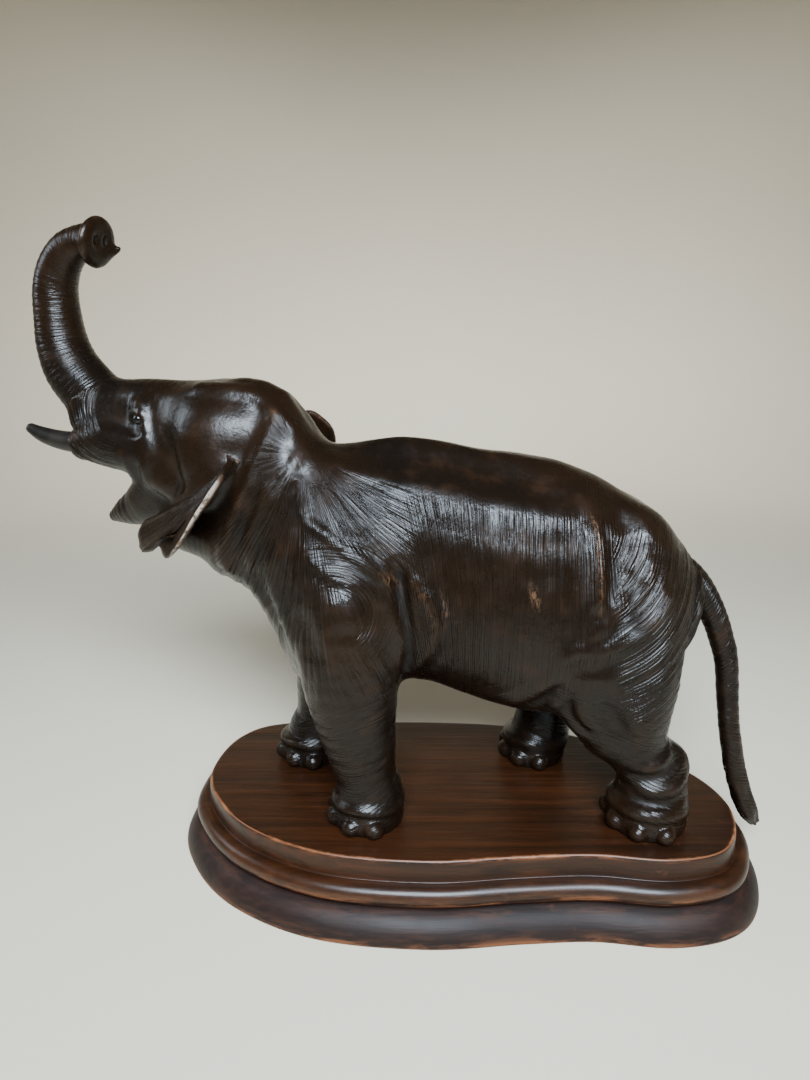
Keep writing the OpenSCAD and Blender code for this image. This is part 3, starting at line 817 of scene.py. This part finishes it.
def make_ear(name, material):
    """A leaf between its root on the cheek, its crown, its rolled rim and its scalloped hem."""
    across, down = 56, 72
    root, rim = ear_edge(EAR_ROOT, down), ear_edge(EAR_RIM[name], down)
    top, hem = ear_edge(EAR_TOP[name], across), ear_edge(EAR_HEM, across)
    u, w = np.meshgrid(np.linspace(0, 1, across), np.linspace(0, 1, down), indexing="ij")
    u3, w3 = u[..., None], w[..., None]
    leaf = ((1 - u3) * root[None] + u3 * rim[None] + (1 - w3) * top[:, None] + w3 * hem[:, None]
            - (1 - u3) * (1 - w3) * top[0] - u3 * (1 - w3) * top[-1]
            - (1 - u3) * w3 * hem[0] - u3 * w3 * hem[-1])
    out = np.cross(np.gradient(leaf, axis=0), np.gradient(leaf, axis=1))
    out /= np.maximum(np.linalg.norm(out, axis=2), 1e-9)[..., None]
    if out[across // 2, down // 2, 0] > 0:
        out = -out
    dish = -2.6 * np.sin(math.pi * u) ** 0.8 * np.sin(math.pi * np.clip(w, 0.02, 0.95))
    rays = np.zeros_like(u)
    for start, size in ((0.30, 1.5), (0.62, 2.2), (0.45, -1.3), (0.78, -1.4)):
        bent = start + (0.55 - start) * 0.35 * (1 - w)
        rays += size * np.exp(-((u - bent) / 0.055) ** 2) * step(w, 0.25, 0.85)
    roll = 0.9 * step(u, 0.90, 0.985) * step(w, 0.0, 0.1)
    middle = leaf + out * (dish + rays * 0.8 + roll)[..., None]
    edge = np.minimum(np.minimum((1 - u) * (across - 1), w * (down - 1) + 2), (1 - w) * (down - 1))
    thick = (0.4 + 0.6 * step(edge, 0, 3)
             + 0.25 * np.exp(-((u - 0.955) / 0.035) ** 2) * step(w, 0.02, 0.15))
    thick = thick + 2.2 * (1 - step(u, 0, 0.3))
    front = middle + out * thick[..., None]
    back = middle - out * thick[..., None]
    if name == "right":
        front, back = front * [1, -1, 1], back * [1, -1, 1]
    verts = np.vstack([front.reshape(-1, 3), back.reshape(-1, 3)])
    number = np.arange(across * down).reshape(across, down)
    a, b, c, d = number[:-1, :-1], number[1:, :-1], number[1:, 1:], number[:-1, 1:]
    quads = np.stack([a, b, c, d], -1).reshape(-1, 4)
    rim_loop = np.concatenate([number[:, 0], number[-1, 1:], number[-2::-1, -1], number[0, -2::-1]])
    wall = np.stack([rim_loop[:-1], rim_loop[1:], rim_loop[1:] + across * down,
                     rim_loop[:-1] + across * down], 1)
    faces = np.vstack([quads, quads[:, ::-1] + across * down, wall[:, ::-1]])
    verts = from_head(verts)
    n = normals(verts, faces)
    if ((verts - np.vstack([verts[len(verts) // 2:], verts[:len(verts) // 2]])) * n).sum() < 0:
        faces = faces[:, ::-1]
        n = -n
    wave = np.tile((np.sin((u - 0.15 * w) * 62) * step(w, 0.1, 0.5)).ravel(), 2)
    verts = verts + n * (0.08 * wave + 0.4 * (noise(verts, 7, 9) - 0.5))[:, None]

    def both(values):
        return np.tile(values.ravel(), 2)
    rolled = both(0.6 * (step(u, 0.93, 0.985) * step(w, 0.1, 0.25)))
    data = {"edge": convexity(verts, faces, NEAR_ROUNDS) + rolled,
            "form": convexity(verts, faces, 30),
            # band along the rim that the ear's material paints pale: chipped bare wood plus a painted
            # highlight
            "rim": both(step(u, 0.965, 0.99) * step(w, 0.12, 0.4)),
            "phase0": both(u * 40),
            "weight0": np.full(len(verts), 0.35)}
    node = "ear_" + name
    place(write_mesh(node + "_carving", verts, faces, data), "carved_wood", node, material)


# ---- stand
STAND_LINE = [[-134.5, 12], [-127, -12], [-106, -36.5], [-70, -54.5], [-22, -60.5], [20, -57.5],
              [54, -56], [90, -59.5], [117, -51], [129.5, -24], [123, 4], [101, 28], [62, 47], [20, 58],
              [-35, 61], [-100, 60], [-126, 45]]
SKIRT_OUT, BEAD_OUT, BEAD_R, BEAD_RISE, GROOVE_OUT = 14.2, 7.7, 5.0, 6.3, 4.5
STAND_STEPS = 420         # points round a board's outline


def outline(count):
    """Closed outline of the boards, evenly stepped, and its outward directions."""
    p = np.array(STAND_LINE)
    loop = through(np.vstack([p[-1:], p, p[:2]]), 16)
    loop = even(loop, np.linspace(0, lengths(loop)[-1], count + 1)[:-1])
    for _ in range(3):
        loop = 0.5 * loop + 0.25 * (np.roll(loop, 1, 0) + np.roll(loop, -1, 0))
    side = np.roll(loop, -1, 0) - np.roll(loop, 1, 0)
    side /= np.linalg.norm(side, axis=1)[:, None]
    return loop, np.stack([side[:, 1], -side[:, 0]], 1)


def make_board(name, profile, slot, material, node):
    """Board whose moulded edge follows the outline: profile rows are outward distance, height, wear."""
    loop, out = outline(STAND_STEPS)
    shrink = np.linspace(1, 0.0, 26)[1:-1] ** 0.9           # rings that fill the flat faces
    prof = np.array(profile, float)
    rows = [(prof[0, 0], prof[0, 1], 0, s) for s in shrink[::-1]]
    rows += [(off, z, worn, 1.0) for off, z, worn in prof]
    rows += [(prof[-1, 0], prof[-1, 1], 0, s) for s in shrink]
    verts = np.vstack([np.column_stack([(loop + out * off) * s, np.full(len(loop), z)])
                       for off, z, _, s in rows])
    wear = np.repeat([float(row[2]) for row in rows], len(loop))
    r, c = len(rows), len(loop)
    i, j = np.meshgrid(np.arange(r - 1), np.arange(c), indexing="ij")
    k = (j + 1) % c
    faces = np.stack([i * c + j, i * c + k, (i + 1) * c + k, (i + 1) * c + j], -1).reshape(-1, 4)
    caps = []
    for ring, turn in ((0, -1), (r - 1, 1)):
        pole = len(verts)
        verts = np.vstack([verts, [0, 0, rows[ring][1]]])
        wear = np.append(wear, 0)
        j = np.arange(0, c, 2)
        quad = np.stack([ring * c + j, ring * c + (j + 1) % c, ring * c + (j + 2) % c,
                         np.full(len(j), pole)], 1)
        caps.append(quad if turn > 0 else quad[:, ::-1])
    faces = np.vstack([faces] + caps)
    soft = np.where(verts[:, 2] > prof[:, 1].min() + 0.5, 0.22, 0)        # all but the flat underside
    verts = verts + normals(verts, faces) * (soft * (noise(verts, 16, 14) - 0.5))[:, None]
    place(write_mesh(name, verts, faces, {"wear": wear}), slot, node, material)


def arc(centre, radius, start, end, count, worn):
    """Rows of a moulding's rounded part; worn is the wear at its start, middle and end."""
    rows = []
    for t in np.linspace(0, 1, count):
        a = math.radians(start + (end - start) * t)
        w = np.interp(t, [0, 0.5, 1], worn)
        rows.append([centre[0] + radius * math.cos(a), centre[1] + radius * math.sin(a), w])
    return rows


def top_board_profile():
    """Groove over the joint, half-round bead, upright edge, worn top corner."""
    z = JOINT_Z + BEAD_RISE
    rows = [[GROOVE_OUT, JOINT_Z + 0.05, 0], [GROOVE_OUT, JOINT_Z + 0.8, 0.1]]
    rows += arc((BEAD_OUT - BEAD_R, z), BEAD_R, -62, 80, 14, (1.0, 0.25, 0.2))
    rows += [[off, z + BEAD_R + up, worn] for off, up, worn in (
        (1.6, -0.1, 0), (1.0, -0.3, 0), (0.7, 0, 0), (0.6, 1, 0.1), (0.5, 2.4, 0.1), (0.45, 4, 0.1))]
    rows += [[off, STAND_TOP - down, worn] for off, down, worn in (
        (0.4, 4, 0.1), (0.25, 2, 0.2), (0.1, 1.1, 0.4), (-0.15, 0.5, 0.95), (-0.6, 0.12, 0.95),
        (-1.2, 0, 0.3), (-2.2, 0, 0.05), (-5, 0, 0))]
    return rows


def base_board_profile():
    """Flared skirt, drawing in as it rises to the joint."""
    skirt = ((3, 0, 0), (1.2, 0, 0.6), (0.5, 0.3, 1), (0.1, 0.9, 1), (0, 1.7, 0.8), (0.15, 3, 0.45),
             (0.5, 4.6, 0.3), (1.1, 6.2, 0.25), (1.9, 7.8, 0.2), (3.0, 9.4, 0.2), (4.3, 10.9, 0.2),
             (5.8, 12.2, 0.3), (7.2, 13.1, 0.3), (8.6, 13.7, 0.2))
    return [[SKIRT_OUT - back, z, worn] for back, z, worn in skirt] + [
        [GROOVE_OUT + 0.6, 13.95, 0.1], [2, 14, 0]]


# ---- materials
class Nodes:
    """Small helper that builds one material's nodes."""

    def __init__(self, name):
        self.material = bpy.data.materials.new(name)
        self.material.use_nodes = True
        self.tree = self.material.node_tree
        self.tree.nodes.clear()
        self.out = self.tree.nodes.new("ShaderNodeOutputMaterial")
        self.surface = self.add("ShaderNodeBsdfPrincipled")
        self.tree.links.new(self.surface.outputs[0], self.out.inputs[0])

    def add(self, kind, **values):
        node = self.tree.nodes.new(kind)
        for key, value in values.items():
            setattr(node, key, value)
        return node

    def link(self, value, socket):
        if isinstance(value, (int, float, tuple)):
            socket.default_value = value
        else:
            self.tree.links.new(value, socket)

    def math(self, operation, a, b=0.0):
        node = self.add("ShaderNodeMath", operation=operation)
        self.link(a, node.inputs[0])
        self.link(b, node.inputs[1])
        return node.outputs[0]

    def plus(self, a, b):
        return self.math("ADD", a, b)

    def times(self, a, b):
        return self.math("MULTIPLY", a, b)

    def attribute(self, name):
        return self.add("ShaderNodeAttribute", attribute_name=name).outputs["Fac"]

    def place(self):
        return self.add("ShaderNodeTexCoord").outputs["Object"]

    def vector(self, x, y, z):
        node = self.add("ShaderNodeCombineXYZ")
        for value, socket in zip((x, y, z), node.inputs):
            self.link(value, socket)
        return node.outputs[0]

    def scaled(self, vector, scale):
        node = self.add("ShaderNodeMapping")
        self.link(vector, node.inputs["Vector"])
        node.inputs["Scale"].default_value = scale
        return node.outputs[0]

    def noise(self, vector, scale, detail=3.0, rough=0.5, warp=0.0):
        node = self.add("ShaderNodeTexNoise")
        self.link(vector, node.inputs["Vector"])
        node.inputs["Scale"].default_value = scale
        node.inputs["Detail"].default_value = detail
        node.inputs["Roughness"].default_value = rough
        node.inputs["Distortion"].default_value = warp
        return node.outputs["Fac"]

    def range(self, value, low, high, to_low=0.0, to_high=1.0):
        node = self.add("ShaderNodeMapRange", interpolation_type="SMOOTHSTEP")
        self.link(value, node.inputs["Value"])
        for key, v in (("From Min", low), ("From Max", high), ("To Min", to_low), ("To Max", to_high)):
            node.inputs[key].default_value = v
        return node.outputs[0]

    def mix(self, amount, a, b):
        node = self.add("ShaderNodeMix", data_type="RGBA")
        self.link(amount, node.inputs["Factor"])
        colours = [s for s in node.inputs if s.type == "RGBA"]
        self.link(a + (1,) if isinstance(a, tuple) else a, colours[0])
        self.link(b + (1,) if isinstance(b, tuple) else b, colours[1])
        return [s for s in node.outputs if s.type == "RGBA"][0]

    def bump(self, height, strength, distance, below=None):
        node = self.add("ShaderNodeBump")
        node.inputs["Strength"].default_value = strength
        node.inputs["Distance"].default_value = distance
        self.link(height, node.inputs["Height"])
        if below is not None:
            self.link(below, node.inputs["Normal"])
        return node.outputs[0]

    def finish(self, colour, roughness, normal, coat=0.0, coat_roughness=0.2, shine=0.28):
        self.link(colour, self.surface.inputs["Base Color"])
        self.link(roughness, self.surface.inputs["Roughness"])
        self.link(normal, self.surface.inputs["Normal"])
        self.surface.inputs["IOR"].default_value = 1.45
        self.surface.inputs["Specular IOR Level"].default_value = shine
        self.surface.inputs["Coat Weight"].default_value = coat
        self.surface.inputs["Coat Roughness"].default_value = coat_roughness
        return self.material


# colours of the carving's lacquer, from its grooves to its ridges, and of its bare and chipped wood;
# the darkest also serves as painted shade in grooves and creases, and the palest is chipped wood plus a
# painted highlight on the ear rim
BLACK, DARK, BROWN = (0.0046, 0.0028, 0.0018), (0.0092, 0.0043, 0.0019), (0.026, 0.0105, 0.0038)
TAN, CHIP_AND_HIGHLIGHT_PALE = (0.18, 0.092, 0.048), (0.46, 0.37, 0.30)
SCUFFED, BARE_BOARD = (0.16, 0.055, 0.024), (0.32, 0.115, 0.045)


def carved_material(name, families, rim=0.0):
    """Black-brown lacquer over carved wood: tool strokes, grooves and creases darkened as painted
    shade, bare brown on worn ridges, and with rim, pale chipped wood plus a painted highlight along the
    ear rim.
    """
    n = Nodes(name)
    here = n.place()
    strokes = None
    for i in range(families):
        phase = n.attribute("phase%d" % i)
        thin = n.vector(n.times(phase, 1.15), n.times(n.noise(here, 45, 1), 2.4), float(i))
        line = n.math("SUBTRACT", n.noise(thin, 1.0, 2.0, 0.6), 0.5)
        comb = n.math("SINE", n.plus(n.times(phase, 4.05), n.times(line, 5.0)))
        line = n.plus(n.times(line, 0.75), n.times(comb, 0.06))
        part = n.times(line, n.attribute("weight%d" % i))
        strokes = part if strokes is None else n.plus(strokes, part)
    pores = n.noise(here, 520, 3, 0.6)
    lumps = n.noise(here, 95, 3, 0.55)
    patches = n.noise(here, 14, 4, 0.6, 0.4)
    edge = n.range(n.attribute("edge"), 0.12, 0.5)
    # painted shade: this mask marks the concave places, where the colour is mixed towards black further
    # down so grooves and creases look shaded
    groove = n.range(n.attribute("edge"), -0.35, -0.02, 1.0, 0.0)
    high = n.range(n.attribute("form"), 0.2, 1.6)
    worn = n.times(edge, n.range(patches, 0.50, 0.70))
    worn = n.times(worn, n.range(lumps, 0.42, 0.66))
    base = n.mix(n.range(patches, 0.35, 0.7), BLACK, DARK)
    base = n.mix(n.times(n.range(lumps, 0.50, 0.78), 0.35), base, BROWN)
    base = n.mix(n.times(high, 0.15), base, BROWN)
    base = n.mix(n.times(n.range(strokes, 0.06, 0.25), 0.22), base, BROWN)
    base = n.mix(n.times(worn, 0.7), base, TAN)
    # painted shade darkening the grooves and creases
    base = n.mix(n.times(groove, 0.85), base, BLACK)
    scratched = n.range(n.noise(n.scaled(here, (1, 1, 0.3)), 800, 3, 0.65), 0.44, 0.60)
    base = n.mix(n.times(n.attribute("bare"), n.times(scratched, 0.7)), base, TAN)
    # painted highlight together with chipped bare wood: the rim band is mixed towards a pale colour
    if rim:
        chips = n.range(n.noise(here, 300, 3, 0.6), 0.40, 0.56, 0.15, 1.0)
        base = n.mix(n.times(n.times(n.attribute("rim"), chips), rim), base, CHIP_AND_HIGHLIGHT_PALE)
    rough = n.plus(n.range(lumps, 0.3, 0.7, 0.23, 0.33), n.times(groove, 0.25))
    rough = n.plus(rough, n.times(worn, 0.15))
    normal = n.bump(lumps, 0.25, 0.0012)
    normal = n.bump(pores, 0.26, 0.0005, normal)
    normal = n.bump(strokes, 1.0, 0.0013, normal)
    return n.finish(base, rough, normal, 0.0, 0.2)


def board_material(name, dark, light, stain, roughness, coat, bareness, shine):
    """Stained hardwood: long grain, pores, darker stain in places, bare orange wood on worn edges."""
    n = Nodes(name)
    here = n.place()
    grain = n.noise(n.scaled(here, (2.4, 44, 44)), 5.0, 5, 0.62, 0.5)
    fine = n.noise(n.scaled(here, (14, 420, 420)), 1.0, 3, 0.6)
    patches = n.noise(here, 9, 4, 0.6, 0.3)
    chips = n.noise(here, 120, 4, 0.65)
    wear = n.attribute("wear")
    rubbed = n.noise(n.scaled(here, (0.3, 0.3, 2.0)), 130, 4, 0.7)
    worn = n.times(n.range(wear, 0.1, 0.95),
                  n.math("MAXIMUM", n.range(rubbed, 0.44, 0.62), n.range(wear, 0.8, 1.0, 0.0, 0.55)))
    worn = n.times(worn, n.range(patches, 0.32, 0.55, 0.35, 1.0))
    scuffs = n.times(n.range(chips, 0.60, 0.72), n.range(patches, 0.5, 0.7))
    base = n.mix(n.range(grain, 0.25, 0.80), dark, light)
    base = n.mix(n.times(n.range(fine, 0.5, 0.75), 0.45), base, dark)
    base = n.mix(n.times(n.range(patches, 0.45, 0.75), 0.6), base, stain)
    base = n.mix(n.times(scuffs, 0.25), base, SCUFFED)
    base = n.mix(n.times(worn, bareness), base, BARE_BOARD)
    rough = n.plus(n.range(patches, 0.3, 0.7, roughness, roughness + 0.12), n.times(worn, 0.2))
    normal = n.bump(grain, 0.25, 0.0008)
    normal = n.bump(fine, 0.22, 0.0004, normal)
    normal = n.bump(chips, 0.12, 0.0006, normal)
    return n.finish(base, rough, normal, coat, 0.28, shine)


def smooth_material(name, dark, light, roughness, scale=(1, 1, 1)):
    """Plain polished material with slight cloudiness, for the bead eyes, tusks and pegs."""
    n = Nodes(name)
    here = n.place()
    cloud = n.noise(n.scaled(here, scale), 60, 4, 0.6, 0.3)
    fine = n.noise(here, 600, 2, 0.5)
    base = n.mix(n.range(cloud, 0.35, 0.7), dark, light)
    normal = n.bump(fine, 0.12, 0.0003)
    normal = n.bump(cloud, 0.15, 0.0006, normal)
    return n.finish(base, n.range(cloud, 0.3, 0.7, roughness, roughness + 0.12), normal, 0.3, 0.15)


def dress(node, material):
    """Gives a carried-over CAD node its material."""
    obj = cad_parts[node]
    obj = bpy.data.objects[obj] if isinstance(obj, str) else obj
    obj.data.materials.clear()
    obj.data.materials.append(material)


wood = carved_material("carved_blackwood", len(STROKES))
# the ear's material also paints the rim pale: chipped bare wood plus a painted highlight
ear_wood = carved_material("ear_blackwood", 1, 0.8)
tusk_wood = smooth_material("tusk_blackwood", (0.006, 0.005, 0.0045), (0.016, 0.012, 0.009), 0.30)
eye_bead = smooth_material("eye_bead", (0.004, 0.004, 0.004), (0.010, 0.008, 0.007), 0.10)
peg_wood = smooth_material("peg_wood", (0.16, 0.08, 0.035), (0.25, 0.13, 0.06), 0.5, (3, 3, 0.5))
top_wood = board_material("stand_top_wood", (0.0105, 0.0037, 0.0013), (0.038, 0.0112, 0.0034),
                          (0.0065, 0.0030, 0.0016), 0.30, 0.15, 0.8, 0.28)
base_wood = board_material("stand_base_wood", (0.0075, 0.0040, 0.0033), (0.020, 0.0090, 0.0065),
                           (0.0055, 0.0036, 0.0032), 0.45, 0.0, 0.42, 0.22)

make_block(wood)
make_trunk(wood)
make_tail(wood)
make_tusk(1, tusk_wood)
make_tusk(-1, tusk_wood)
make_ear("left", ear_wood)
make_ear("right", ear_wood)
make_board("stand_top_board", top_board_profile(), "stand_top_wood", top_wood, "stand_top")
make_board("stand_base_board", base_board_profile(), "stand_base_wood", base_wood, "stand_base")
dress("eye_left", eye_bead)
dress("eye_right", eye_bead)
for leg in LEGS:
    dress("peg_" + leg, peg_wood)

# ---- floor, light and camera
CAMERA_AT = (-31.5, -351.5, 276.0)
CAMERA_DOWN = 17.1        # degrees below the horizon
FLOOR_COLOURS = (0.60, 0.53, 0.41), (0.64, 0.565, 0.44)


def make_camera():
    cam = bpy.data.cameras.new("camera")
    cam.lens = 26
    cam.sensor_width = 36
    obj = add_object("camera", cam)
    obj.location = [c * MM for c in CAMERA_AT]
    obj.rotation_euler = (math.radians(90 - CAMERA_DOWN), 0, 0)
    bpy.context.scene.camera = obj


def make_light(name, at, size, power, colour, spread, aim=(0, 0, 0.13)):
    light = bpy.data.lights.new(name, "AREA")
    light.shape = "RECTANGLE"
    light.size, light.size_y = size
    light.energy = power
    light.spread = math.radians(spread)
    light.color = colour
    obj = add_object(name, light)
    obj.location = at
    obj.rotation_euler = (Vector(aim) - Vector(at)).to_track_quat("-Z", "Y").to_euler()


def make_backdrop():
    """A pale sheet: flat under the object, then curving up far behind it on every side."""
    turns = 96
    flat, bend, wall = 0.75, 0.5, 1.6
    line = [(r, 0.0) for r in np.linspace(0.02, flat, 8)]
    line += [(flat + bend * math.sin(a), bend - bend * math.cos(a))
             for a in np.linspace(0, math.pi / 2, 16)[1:]]
    line += [(flat + bend, z) for z in np.linspace(bend, wall, 6)[1:]]
    verts = [(r * math.cos(2 * math.pi * k / turns), r * math.sin(2 * math.pi * k / turns), z)
             for r, z in line for k in range(turns)]
    faces = [(low + k, low + (k + 1) % turns, low + turns + (k + 1) % turns, low + turns + k)
             for low in range(0, (len(line) - 1) * turns, turns) for k in range(turns)]
    faces.append(tuple(range(turns)))
    mesh = bpy.data.meshes.new("backdrop")
    mesh.from_pydata(verts, [], faces)
    mesh.polygons.foreach_set("use_smooth", [True] * len(mesh.polygons))
    obj = add_object("backdrop", mesh)
    n = Nodes("pale_floor")
    cloud = n.noise(n.place(), 3, 2)
    obj.data.materials.append(n.finish(n.mix(cloud, *FLOOR_COLOURS), 0.9,
                                       n.bump(cloud, 0.05, 0.001)))


make_camera()
make_backdrop()
make_light("softbox", (0.02, -0.80, 0.80), (0.70, 0.33), 13.5, (0.74, 0.87, 1.0), 88)
make_light("window", (-1.0, 0.05, 0.62), (0.30, 0.45), 1.5, (0.76, 0.88, 1.0), 120, (-0.05, 0, 0.16))
make_light("backdrop_light", (0, 0.50, 1.20), (1.2, 0.2), 3.6, (0.96, 0.98, 1.0), 66, (0, 1.1, 0.0))
world = bpy.data.worlds.new("studio")
world.use_nodes = True
sky = world.node_tree.nodes["Background"]
sky.inputs["Color"].default_value = (0.95, 0.97, 1.0, 1)
sky.inputs["Strength"].default_value = 0.05
bpy.context.scene.world = world
